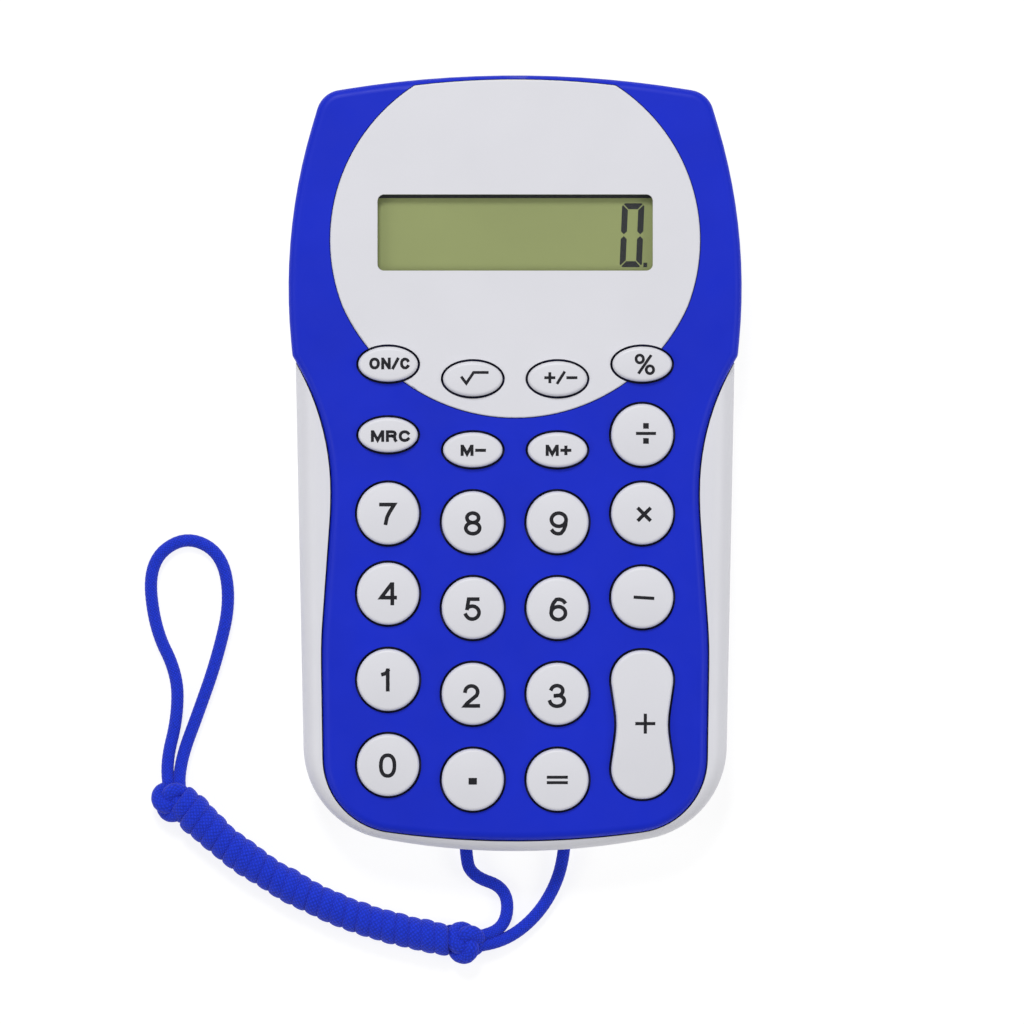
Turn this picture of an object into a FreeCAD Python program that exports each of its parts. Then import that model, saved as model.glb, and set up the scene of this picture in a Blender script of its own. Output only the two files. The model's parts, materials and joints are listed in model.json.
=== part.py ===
import FreeCAD, Part
import math
import os
import re
import Sketcher
from FreeCAD import Placement, Rotation, Vector

# Pocket calculator with a wrist lanyard, in millimetres.
# +Z points out of the key face, +Y points to the display end, +X is to the right.
# The origin is under the middle of the case, in the plane of the rubber feet.

doc = FreeCAD.newDocument("pocket_calculator")

# ---------------------------------------------------------------- driving sizes

SIZES = {
    # case
    "case_length": 116.6,
    "case_width": 67.8,
    "case_depth": 12.0,
    "case_wall": 1.6,
    "parting_height": 6.2,
    "parting_gap": 0.1,
    "front_overhang": 0.4,
    "front_edge_round": 1.3,
    "rear_edge_round": 1.8,
    "wing_edge_round": 3.0,
    "wing_step": 0.6,
    "wing_gap": 0.15,
    # outline of the case
    "top_radius": 160.0,
    "top_slope": 0.16,
    "shoulder_inset": 4.9,
    "shoulder_radius": 4.0,
    "side_vertex_out": 1.32,
    "side_vertex_drop": 23.6,
    "side_radius": 84.8,
    "rear_side_drop": 19.3,
    "rear_side_inset": 0.4,
    "rear_side_radius": 60.0,
    "tail_inset": 2.28,
    "tail_rise": 4.0,
    "tail_radius": 14.2,
    "bottom_radius": 108.0,
    "bottom_slope": 0.186,
    # outline of the blue front where it narrows between the wings
    "flare_inset": 0.45,
    "flare_top_drop": 42.1,
    "flare_round": 1.2,
    "waist_inset": 6.3,
    "flare_vertex_drop": 52.0,
    "flare_radius": 38.5,
    "waist_low_drop": 65.0,
    "waist_radius": 60.0,
    "hip_inset": 4.85,
    "hip_rise": 31.3,
    "hip_radius": 70.0,
    "chin_inset": 5.25,
    "chin_rise": 4.35,
    "chin_radius": 11.2,
    "chin_step": 1.7,
    "chin_curve": 137.5,
    "chin_slope": 0.138,
    # display panel
    "panel_radius": 27.75,
    "panel_drop": 24.9,
    "panel_low_radius": 28.4,
    "panel_low_drop": 51.45,
    "panel_join_drop": 34.8,
    "panel_top_margin": 0.7,
    "panel_top_drop": 0.9,
    "panel_corner_round": 0.9,
    "panel_thickness": 1.2,
    "panel_proud": 0.3,
    "panel_gap": 0.12,
    "panel_edge_round": 0.25,
    "window_width": 41.3,
    "window_height": 11.45,
    "window_drop": 23.65,
    "window_corner": 1.0,
    # clear window and liquid crystal cell
    "pane_border": 1.2,
    "pane_thickness": 0.6,
    "pane_gap": 0.2,
    "glass_width": 48.0,
    "glass_border": 2.6,
    "glass_thickness": 0.55,
    "film_thickness": 0.1,
    "ledge": 2.4,
    "zebra_width": 1.6,
    "zebra_inset": 3.0,
    "zebra_margin": 0.1,
    "holder_wall": 1.5,
    # keys
    "column_pitch": 12.7,
    "inner_first_drop": 67.1,
    "inner_pitch": 12.87,
    "outer_first_drop": 65.8,
    "outer_pitch": 12.57,
    "four_rise": 0.55,
    "one_rise": 0.2,
    "inner_memory_drop": 56.25,
    "outer_memory_drop": 54.0,
    "inner_function_drop": 45.6,
    "outer_function_drop": 43.4,
    "round_key": 9.3,
    "oval_key_width": 8.9,
    "oval_key_height": 5.25,
    "tall_key_length": 22.3,
    "tall_key_waist": 7.4,
    "tall_key_width": 10.7,
    "tall_key_corner": 4.5,
    "tall_key_waist_curve": 14.0,
    "tall_key_drop": 97.45,
    "key_proud": 1.4,
    "key_clearance": 0.35,
    "key_flange": 0.6,
    "flange_gap": 0.3,
    "key_flange_thickness": 0.7,
    "key_crown": 30.0,
    "tall_key_crown": 110.0,
    "key_rim_round": 0.55,
    "key_stem": 4.0,
    # circuit board and rubber membrane
    "board_drop": 3.2,
    "board_thickness": 1.2,
    "board_width": 50.0,
    "board_top_margin": 14.8,
    "board_bottom_margin": 3.6,
    "board_corner": 9.0,
    "board_top_corner": 2.0,
    "mat_thickness": 0.6,
    "mat_top_drop": 38.3,
    "mat_margin": 1.0,
    "dome_base": 6.6,
    "dome_top": 4.4,
    "dome_rise": 1.0,
    "stem_gap": 0.3,
    # screws and bosses
    "case_screw_x": 25.0,
    "case_screw_top": 10.5,
    "low_boss_gap": 0.54,
    "case_screw_shank": 2.2,
    "case_screw_head": 4.0,
    "case_screw_head_thickness": 1.3,
    "case_screw_seat": 2.4,
    "case_screw_bite": 3.4,
    "bore_spare": 0.5,
    "screw_fit": 0.1,
    "front_boss": 4.2,
    "rear_boss": 6.0,
    "head_gap": 0.3,
    "board_screw_shank": 1.4,
    "board_screw_head": 2.8,
    "board_screw_head_thickness": 0.9,
    "board_screw_bite": 2.4,
    "board_boss": 3.4,
    "board_screw_between": 0.46,
    "board_screw_low_between": 2.45,
    "board_screw_side": 3.4,
    "board_screw_above": 1.0,
    "recess_width": 0.5,
    "recess_depth": 0.6,
    "recess_reach": 0.55,
    # battery, its contacts and its round cover
    "battery_drop": 28.3,
    "cell_diameter": 11.6,
    "cell_thickness": 3.05,
    "cell_lift": 0.3,
    "contact_thickness": 0.25,
    "contact_width": 3.0,
    "cell_play": 0.8,
    "cover_gap": 0.3,
    "cover_rim": 1.5,
    "cover_rim_rise": 1.1,
    "lug_reach": 1.5,
    "lug_width": 4.4,
    "lug_thickness": 0.8,
    "notch_margin": 0.5,
    "slot_length": 11.0,
    "slot_width": 1.8,
    "slot_depth": 0.9,
    # small parts on the board
    "blob_diameter": 9.0,
    "blob_thickness": 1.3,
    "capacitor_diameter": 3.0,
    "capacitor_length": 5.0,
    "resistor_length": 3.2,
    "resistor_width": 1.6,
    "resistor_thickness": 0.6,
    # feet
    "foot_diameter": 7.0,
    "foot_proud": 0.6,
    "foot_recess": 0.4,
    "foot_x": 22.0,
    "foot_top_margin": 22.3,
    "foot_low_margin": 14.3,
    # lanyard
    "cord_diameter": 1.9,
    "eyelet_diameter": 2.6,
    "eyelet_x": 7.4,
    "eyelet_height": 3.3,
    "whipping_diameter": 5.1,
    "knot_length": 6.4,
    "knot_width": 5.4,
    "knot_thickness": 5.0,
}

sheet = doc.addObject("Spreadsheet::Sheet", "sizes")
for row, (alias, number) in enumerate(SIZES.items(), start=1):
    sheet.set(f"A{row}", alias)
    sheet.set(f"B{row}", str(number))
    sheet.setAlias(f"B{row}", alias)
doc.recompute()

# Heights above the feet that several pieces share.
CASE_FLOOR = "foot_proud"
FLOOR_INSIDE = "(foot_proud + case_wall)"
PARTING = "(foot_proud + parting_height)"
FACE = "(foot_proud + case_depth)"
FACE_INSIDE = "(foot_proud + case_depth - case_wall)"
WING_TOP = "(foot_proud + case_depth - wing_step)"
PANEL_TOP = f"({FACE} + panel_proud)"
PANEL_BACK = f"({PANEL_TOP} - panel_thickness)"
BOARD_FRONT = f"({FACE_INSIDE} - board_drop)"
BOARD_BACK = f"({BOARD_FRONT} - board_thickness)"
MAT_TOP = f"({BOARD_FRONT} + mat_thickness)"
DOME_TOP = f"({MAT_TOP} + dome_rise)"
KEY_TOP = f"({FACE} + key_proud)"
FLANGE_TOP = f"({FACE_INSIDE} - key_clearance)"
FLANGE_BACK = f"({FLANGE_TOP} - key_flange_thickness)"
CELL_BACK = f"({FLOOR_INSIDE} + cell_lift)"
CELL_FRONT = f"({CELL_BACK} + cell_thickness)"

# Places along the case, from its display end.
HALF_WIDTH = "case_width / 2"
HALF_LENGTH = "case_length / 2"
PANEL_CENTRE = f"({HALF_LENGTH} - panel_drop)"
WINDOW_CENTRE = f"({HALF_LENGTH} - window_drop)"
BATTERY_ROW = f"({HALF_LENGTH} - battery_drop)"
COVER_DIAMETER = "(cell_diameter + 2 * cell_play + 2 * cover_rim)"

# How far a tool runs past the piece that it cuts, and how far a boss is sunk into its wall.
PAST = "1"
SUNK = "0.1"


def bound(expression):
    """The expression with each size's name turned into a reference to the sheet."""
    return re.sub(r"[a-z_]+", lambda word: "sizes." + word.group() if word.group() in SIZES
                  else word.group(), str(expression))


def number(expression):
    """The present value of an expression in the sheet's sizes."""
    result = sheet.evalExpression(bound(expression))
    return float(getattr(result, "Value", result))


def bind(feature, **properties):
    """Tie properties of a feature to expressions; __ stands for a dot in the name."""
    for name, expression in properties.items():
        feature.setExpression(name.replace("__", "."), bound(expression))
    return feature


# ---------------------------------------------------------------- building tools

def mirrored(corners):
    """A closed outline, symmetric about x = 0, from the corners of its right half."""
    left = [(f"-({x})", y, r) for x, y, r in reversed(corners) if x != "0"]
    return corners + left


def constrain(sketch, fixed, driven):
    """Adds plain constraints and constraints driven by expressions, in one solve."""
    first = len(sketch.Constraints) + len(fixed)
    sketch.addConstraint(fixed + [constraint for constraint, _ in driven])
    for index, (_, expression) in enumerate(driven, start=first):
        sketch.setExpression(f"Constraints[{index}]", bound(expression))


def pinned(sketch, mark, spot, x, y):
    """Constraints that hold a construction point at x, y."""
    fixed = []
    driven = [(Sketcher.Constraint("DistanceY", -1, 1, mark, 1, spot.y), y)]
    if x == "0":
        fixed.append(Sketcher.Constraint("PointOnObject", mark, 1, -2))
    else:
        driven.append((Sketcher.Constraint("DistanceX", -1, 1, mark, 1, spot.x), x))
    return fixed, driven


def outline(name, corners):
    """A closed sketch of straight sides whose corners (x, y, radius) are rounded."""
    sketch = doc.addObject("Sketcher::SketchObject", name)
    place = [Vector(number(x), number(y), 0) for x, y, _ in corners]
    count = len(corners)
    starts = []
    ends = []
    arcs = []
    for i, (_, _, radius) in enumerate(corners):
        before = (place[i - 1] - place[i]).normalize()
        after = (place[(i + 1) % count] - place[i]).normalize()
        half = before.getAngle(after) / 2
        reach = number(radius) / math.tan(half)
        starts.append(place[i] + before * reach)
        ends.append(place[i] + after * reach)
        inward = (before + after).normalize()
        middle = place[i] + inward * number(radius) * (1 / math.sin(half) - 1)
        arcs.append(Part.Arc(starts[i], middle, ends[i]))
    lines = [Part.LineSegment(ends[i], starts[(i + 1) % count]) for i in range(count)]
    sides = sketch.addGeometry(lines)
    rounds = sketch.addGeometry(arcs)
    marks = sketch.addGeometry([Part.Point(spot) for spot in place], True)
    fixed = []
    driven = []
    for i, (x, y, radius) in enumerate(corners):
        arc = rounds[i]
        near = 1 if sketch.getPoint(arc, 1).distanceToPoint(starts[i]) < 1e-6 else 2
        fixed += [Sketcher.Constraint("Tangent", sides[i - 1], 2, arc, near),
                  Sketcher.Constraint("Tangent", arc, 3 - near, sides[i], 1),
                  Sketcher.Constraint("PointOnObject", marks[i], 1, sides[i - 1]),
                  Sketcher.Constraint("PointOnObject", marks[i], 1, sides[i])]
        held, placed = pinned(sketch, marks[i], place[i], x, y)
        fixed += held
        driven += placed
        driven.append((Sketcher.Constraint("Radius", arc, number(radius)), radius))
    constrain(sketch, fixed, driven)
    return sketch


def inset(name, source, distance):
    """The outline moved inwards by a distance, or outwards by a negative one."""
    doc.recompute()
    ring = doc.addObject("Part::Offset2D", name)
    ring.Source = source
    ring.Value = -number(distance)
    return bind(ring, Value=f"-({distance})")


def prism(name, profile, low, high):
    """A flat outline extruded between two heights."""
    solid = doc.addObject("Part::Extrusion", name)
    solid.Base = profile
    solid.DirMode = "Custom"
    solid.Dir = Vector(0, 0, 1)
    solid.Solid = True
    return bind(solid, LengthFwd=high, LengthRev=f"-({low})")


def cylinder(name, x, y, low, high, diameter):
    """An upright round bar between two heights."""
    solid = doc.addObject("Part::Cylinder", name)
    return bind(solid, Radius=f"({diameter}) / 2", Height=f"({high}) - ({low})",
                Placement__Base__x=x, Placement__Base__y=y, Placement__Base__z=low)


def block(name, x, y, low, high, width, height):
    """An upright box centred on x, y."""
    solid = doc.addObject("Part::Box", name)
    return bind(solid, Length=width, Width=height, Height=f"({high}) - ({low})",
                Placement__Base__x=f"({x}) - ({width}) / 2",
                Placement__Base__y=f"({y}) - ({height}) / 2", Placement__Base__z=low)


def rounded_block(name, x, y, low, high, width, height, radius):
    """An upright box with rounded upright edges, centred on x, y."""
    right = f"({x}) + ({width}) / 2"
    left = f"({x}) - ({width}) / 2"
    top = f"({y}) + ({height}) / 2"
    bottom = f"({y}) - ({height}) / 2"
    corners = [(right, bottom, radius), (right, top, radius), (left, top, radius),
               (left, bottom, radius)]
    return prism(name, outline(name + "_outline", corners), low, high)


def fused(name, pieces):
    union = doc.addObject("Part::MultiFuse", name)
    union.Shapes = pieces
    union.Refine = True
    return union


def cut(name, base, tools):
    """The base without its tools, which may be many."""
    difference = doc.addObject("Part::Cut", name)
    difference.Base = base
    difference.Tool = tools[0] if len(tools) == 1 else fused(name + "_tools", tools)
    difference.Refine = True
    return difference


def rounded(name, base, radius, chosen):
    """The base with a fillet along the edges for which chosen(edge) is true."""
    doc.recompute()
    size = number(radius)
    fillet = doc.addObject("Part::Fillet", name)
    fillet.Base = base
    fillet.Edges = [(index, size, size) for index, edge in enumerate(base.Shape.Edges, start=1)
                    if chosen(edge)]
    return fillet


def flat_at(height):
    """Chooses the edges that lie in one level plane."""
    level = number(height)
    return lambda edge: (abs(edge.BoundBox.ZMin - level) < 1e-4
                         and abs(edge.BoundBox.ZMax - level) < 1e-4)


subparts = []


def finished(node, feature):
    """Marks a feature as the whole of one sub-part, under the node's name."""
    feature.Label = node
    subparts.append(feature)
    return feature


def group(node, features):
    """Identical loose pieces that share one node."""
    compound = doc.addObject("Part::Compound", node + "_group")
    compound.Links = features
    return finished(node, compound)


# ---------------------------------------------------------------- outlines of the case

TOP_VERTEX = f"({HALF_LENGTH} + top_radius * (sqrt(1 + top_slope^2) - 1))"
SHOULDER_X = f"({HALF_WIDTH} - shoulder_inset)"
SHOULDER_Y = f"({TOP_VERTEX} - top_slope * {SHOULDER_X})"
BOTTOM_VERTEX = f"(-{HALF_LENGTH} - bottom_radius * (sqrt(1 + bottom_slope^2) - 1))"
CHIN_VERTEX = f"(-{HALF_LENGTH} + chin_step - chin_curve * (sqrt(1 + chin_slope^2) - 1))"

front_outline = outline("front_outline", mirrored([
    ("0", CHIN_VERTEX, "chin_curve"),
    (f"{HALF_WIDTH} - chin_inset", f"-{HALF_LENGTH} + chin_rise", "chin_radius"),
    (f"{HALF_WIDTH} - hip_inset", f"-{HALF_LENGTH} + hip_rise", "hip_radius"),
    (f"{HALF_WIDTH} - waist_inset", f"{HALF_LENGTH} - waist_low_drop", "waist_radius"),
    (f"{HALF_WIDTH} - waist_inset", f"{HALF_LENGTH} - flare_vertex_drop", "flare_radius"),
    (f"{HALF_WIDTH} - flare_inset", f"{HALF_LENGTH} - flare_top_drop", "flare_round"),
    (f"{HALF_WIDTH} + side_vertex_out", f"{HALF_LENGTH} - side_vertex_drop", "side_radius"),
    (SHOULDER_X, SHOULDER_Y, "shoulder_radius"),
    ("0", TOP_VERTEX, "top_radius"),
]))

rear_outline = outline("rear_outline", mirrored([
    ("0", BOTTOM_VERTEX, "bottom_radius"),
    (f"{HALF_WIDTH} - tail_inset", f"-{HALF_LENGTH} + tail_rise", "tail_radius"),
    (f"{HALF_WIDTH} - rear_side_inset", f"{HALF_LENGTH} - rear_side_drop", "rear_side_radius"),
    (f"{SHOULDER_X} - front_overhang", f"{SHOULDER_Y} - front_overhang",
     "shoulder_radius - front_overhang"),
    ("0", f"{TOP_VERTEX} - front_overhang", "top_radius"),
]))


def panel_sketch():
    """The round display panel: a wide circle below, a smaller one above, cut off at the top."""
    sketch = doc.addObject("Sketcher::SketchObject", "panel_outline")
    low_edge = f"({HALF_LENGTH} - panel_low_drop)"
    join_y = f"({HALF_LENGTH} - panel_join_drop)"
    join_x = f"sqrt(panel_low_radius^2 - ({join_y} - {low_edge} - panel_low_radius)^2)"
    top_y = f"({HALF_LENGTH} - panel_top_margin)"
    corner_y = f"({top_y} - panel_top_drop)"
    top_x = f"sqrt(panel_radius^2 - ({corner_y} - {PANEL_CENTRE})^2)"
    points = [(f"-({join_x})", join_y), (join_x, join_y), (top_x, corner_y),
              (f"-({top_x})", corner_y)]
    middles = [("0", low_edge), ("panel_radius", PANEL_CENTRE), ("0", top_y),
               ("-panel_radius", PANEL_CENTRE)]
    place = [Vector(number(x), number(y), 0) for x, y in points]
    halfway = [Vector(number(x), number(y), 0) for x, y in middles]
    arcs = sketch.addGeometry([Part.Arc(place[i], halfway[i], place[(i + 1) % 4])
                               for i in range(4)])
    marks = sketch.addGeometry([Part.Point(spot) for spot in place + halfway], True)
    fixed = []
    driven = []
    for i, (x, y) in enumerate(points + middles):
        held, placed = pinned(sketch, marks[i], (place + halfway)[i], x, y)
        fixed += held
        driven += placed
    for i in range(4):
        fixed += [Sketcher.Constraint("Coincident", arcs[i], 1, marks[i], 1),
                  Sketcher.Constraint("Coincident", arcs[i], 2, marks[(i + 1) % 4], 1),
                  Sketcher.Constraint("PointOnObject", marks[4 + i], 1, arcs[i])]
    constrain(sketch, fixed, driven)
    return sketch


panel_outline = panel_sketch()

# ---------------------------------------------------------------- keys

INNER = "column_pitch / 2"
OUTER = "column_pitch * 3 / 2"


OUTER_FUNCTION_ROW = f"({HALF_LENGTH} - outer_function_drop)"
INNER_FUNCTION_ROW = f"({HALF_LENGTH} - inner_function_drop)"
OUTER_MEMORY_ROW = f"({HALF_LENGTH} - outer_memory_drop)"
INNER_MEMORY_ROW = f"({HALF_LENGTH} - inner_memory_drop)"
TALL_KEY_ROW = f"({HALF_LENGTH} - tall_key_drop)"


def digit_row(side, index):
    return f"{HALF_LENGTH} - {side}_first_drop - {side}_pitch * {index}"


LAST_INNER_ROW = f"({digit_row('inner', 3)})"
# A flange stays clear of the next key's, whatever the keys' size and pitch.
FLANGE = ("min(key_flange; (min(outer_pitch - four_rise; outer_first_drop - outer_memory_drop)"
          " - round_key - flange_gap) / 2)")


KEYS = {
    "key_on_clear": ("oval", f"-{OUTER}", OUTER_FUNCTION_ROW),
    "key_square_root": ("oval", f"-{INNER}", INNER_FUNCTION_ROW),
    "key_change_sign": ("oval", INNER, INNER_FUNCTION_ROW),
    "key_percent": ("oval", OUTER, OUTER_FUNCTION_ROW),
    "key_memory_recall": ("oval", f"-{OUTER}", OUTER_MEMORY_ROW),
    "key_memory_minus": ("oval", f"-{INNER}", INNER_MEMORY_ROW),
    "key_memory_plus": ("oval", INNER, INNER_MEMORY_ROW),
    "key_divide": ("round", OUTER, OUTER_MEMORY_ROW),
    "key_7": ("round", f"-{OUTER}", digit_row("outer", 0)),
    "key_8": ("round", f"-{INNER}", digit_row("inner", 0)),
    "key_9": ("round", INNER, digit_row("inner", 0)),
    "key_multiply": ("round", OUTER, digit_row("outer", 0)),
    "key_4": ("round", f"-{OUTER}", digit_row("outer", 1) + " + four_rise"),
    "key_5": ("round", f"-{INNER}", digit_row("inner", 1)),
    "key_6": ("round", INNER, digit_row("inner", 1)),
    "key_subtract": ("round", OUTER, digit_row("outer", 1)),
    "key_1": ("round", f"-{OUTER}", digit_row("outer", 2) + " + one_rise"),
    "key_2": ("round", f"-{INNER}", digit_row("inner", 2)),
    "key_3": ("round", INNER, digit_row("inner", 2)),
    "key_0": ("round", f"-{OUTER}", digit_row("outer", 3)),
    "key_decimal_point": ("round", f"-{INNER}", digit_row("inner", 3)),
    "key_equals": ("round", INNER, digit_row("inner", 3)),
    "key_add": ("tall", OUTER, TALL_KEY_ROW),
}


def tall_outline(x, y):
    """The long addition key: rounded ends and a slight waist."""
    wide = "tall_key_width / 2"
    end = "tall_key_length / 2"
    waist = "tall_key_waist / 2"
    corners = [(f"{x} + {wide}", f"{y} - {end}", "tall_key_corner"),
               (f"{x} + {waist}", y, "tall_key_waist_curve"),
               (f"{x} + {wide}", f"{y} + {end}", "tall_key_corner"),
               (f"{x} - {wide}", f"{y} + {end}", "tall_key_corner"),
               (f"{x} - {waist}", y, "tall_key_waist_curve"),
               (f"{x} - {wide}", f"{y} - {end}", "tall_key_corner")]
    return outline("tall_key_outline", corners)


tall_key_outline = tall_outline(OUTER, TALL_KEY_ROW)


def key_bar(name, key, margin, low, high):
    """A key's outline, widened by a margin, as a bar between two heights."""
    shape, x, y = KEYS[key]
    if shape == "round":
        return cylinder(name, x, y, low, high, f"round_key + 2 * ({margin})")
    if shape == "tall":
        profile = tall_key_outline if margin == "0" else inset(name + "_outline",
                                                               tall_key_outline, f"-({margin})")
        return prism(name, profile, low, high)
    oval = doc.addObject("Part::Ellipse", name + "_outline")
    bind(oval, MajorRadius=f"oval_key_width / 2 + {margin}",
         MinorRadius=f"oval_key_height / 2 + {margin}",
         Placement__Base__x=x, Placement__Base__y=y)
    return prism(name, oval, low, high)


def around_crown(domed):
    """Chooses the edges where a key's side meets its spherical top."""
    doc.recompute()
    cap = next(face for face in domed.Shape.Faces if isinstance(face.Surface, Part.Sphere))
    rim = [edge for edge in cap.Edges if not edge.Degenerated and not edge.isSeam(cap)]
    return lambda edge: any(edge.isSame(other) for other in rim)


def build_key(key):
    """A crowned cap, the flange that keeps it in the case and the stem that presses the dome."""
    shape, x, y = KEYS[key]
    crown = "tall_key_crown" if shape == "tall" else "key_crown"
    head = key_bar(key + "_head", key, "0", FLANGE_BACK, f"{KEY_TOP} + {PAST}")
    ball = doc.addObject("Part::Sphere", key + "_crown")
    bind(ball, Radius=crown, Placement__Base__x=x, Placement__Base__y=y,
         Placement__Base__z=f"{KEY_TOP} - {crown}")
    domed = doc.addObject("Part::Common", key + "_domed")
    domed.Base = head
    domed.Tool = ball
    softened = rounded(key + "_soft", domed, "key_rim_round", around_crown(domed))
    flange = key_bar(key + "_flange", key, FLANGE, FLANGE_BACK, FLANGE_TOP)
    stem = cylinder(key + "_stem", x, y, f"{DOME_TOP} + stem_gap", FLANGE_BACK, "key_stem")
    return finished(key, fused(key + "_body", [softened, flange, stem]))


for key in KEYS:
    build_key(key)

# ---------------------------------------------------------------- front of the case

# The low screws stand between two columns, clear of the last row's flanges.
LOW_SCREW_REACH = "(round_key / 2 + key_flange + front_boss / 2 + low_boss_gap)"
LOW_SCREW_Y = f"({LAST_INNER_ROW} - sqrt({LOW_SCREW_REACH}^2 - (column_pitch / 2)^2))"
CASE_SCREWS = [("case_screw_x", f"{HALF_LENGTH} - case_screw_top"),
               ("-case_screw_x", f"{HALF_LENGTH} - case_screw_top"),
               ("column_pitch", LOW_SCREW_Y),
               ("-column_pitch", LOW_SCREW_Y)]
BOARD_SCREWS = [(f"{sign}column_pitch", digit_row("inner", share))
                for share in ("board_screw_between", "board_screw_low_between")
                for sign in ("", "-")]
BOARD_SCREWS += [(f"{sign}({OUTER} + board_screw_side)",
                  f"{OUTER_FUNCTION_ROW} + oval_key_height + board_screw_above")
                 for sign in ("", "-")]


def build_front_case():
    wall_top = FACE
    low = f"{PARTING} + parting_gap"
    shell = prism("front_block", front_outline, low, wall_top)
    shell = rounded("front_soft", shell, "front_edge_round", flat_at(wall_top))
    room = prism("front_room", inset("front_inside", front_outline, "case_wall"), low,
                 FACE_INSIDE)
    hollow = cut("front_shell", shell, [room])
    bosses = [cylinder(f"case_boss_{i}", x, y, low, FACE_INSIDE, "front_boss")
              for i, (x, y) in enumerate(CASE_SCREWS)]
    bosses += [cylinder(f"board_boss_{i}", x, y, BOARD_FRONT, FACE_INSIDE, "board_boss")
               for i, (x, y) in enumerate(BOARD_SCREWS)]
    bossed = fused("front_bossed", [hollow] + bosses)
    tools = [prism("panel_recess", inset("panel_seat", panel_outline, "-panel_gap"), PANEL_BACK,
                   f"{FACE} + {PAST}")]
    tools += [key_bar(key + "_hole", key, "key_clearance", f"{FACE_INSIDE} - {PAST}", f"{FACE} + {PAST}")
              for key in KEYS]
    tools += [cylinder(f"case_bore_{i}", x, y, low, f"{low} + case_screw_bite + bore_spare",
                       "case_screw_shank + screw_fit")
              for i, (x, y) in enumerate(CASE_SCREWS)]
    tools += [cylinder(f"board_bore_{i}", x, y, BOARD_FRONT,
                       f"{BOARD_FRONT} + board_screw_bite + bore_spare",
                       "board_screw_shank + screw_fit")
              for i, (x, y) in enumerate(BOARD_SCREWS)]
    tools.append(rounded_block("pane_opening", "0", WINDOW_CENTRE, f"{FACE_INSIDE} - {PAST}",
                               f"{FACE} + {PAST}", "window_width + 2 * (pane_border + pane_gap)",
                               "window_height + 2 * (pane_border + pane_gap)",
                               "window_corner"))
    finished("front_case", cut("front_cut", bossed, tools))


def build_display_panel():
    plate = prism("panel_plate", panel_outline, PANEL_BACK, PANEL_TOP)
    plate = rounded("panel_corners", plate, "panel_corner_round",
                    lambda edge: edge.BoundBox.ZLength > 0.5
                    and edge.BoundBox.YMin > number(PANEL_CENTRE))
    plate = rounded("panel_soft", plate, "panel_edge_round", flat_at(PANEL_TOP))
    tools = [key_bar(key + "_panel_hole", key, "key_clearance", f"{PANEL_BACK} - {PAST}",
                     f"{PANEL_TOP} + {PAST}")
             for key in ("key_on_clear", "key_square_root", "key_change_sign", "key_percent")]
    tools.append(rounded_block("window_opening", "0", WINDOW_CENTRE, f"{PANEL_BACK} - {PAST}",
                               f"{PANEL_TOP} + {PAST}", "window_width", "window_height",
                               "window_corner"))
    finished("display_panel", cut("panel_cut", plate, tools))


build_front_case()
build_display_panel()

# ---------------------------------------------------------------- rear of the case

BATTERY_X = "0"
OPEN_TURN = 45
FEET = [(f"{sign}foot_x", row) for row in (f"{HALF_LENGTH} - foot_top_margin",
                                           f"-{HALF_LENGTH} + foot_low_margin")
        for sign in ("", "-")]


def lugs(name, low, high, reach, width, start):
    """Two opposite bayonet lugs, or the notches they pass through, about the battery."""
    bars = []
    for i in range(2):
        bar = doc.addObject("Part::Box", f"{name}_{i}")
        bind(bar, Length=f"{COVER_DIAMETER} / 2 + {reach}", Width=width,
             Height=f"({high}) - ({low})")
        turn = Rotation(Vector(0, 0, 1), start + 180 * i)
        offset = turn.multVec(Vector(0, -number(width) / 2, 0))
        bar.Placement = Placement(Vector(offset.x, number(BATTERY_ROW) + offset.y, number(low)),
                                  turn)
        bars.append(bar)
    return bars


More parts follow.
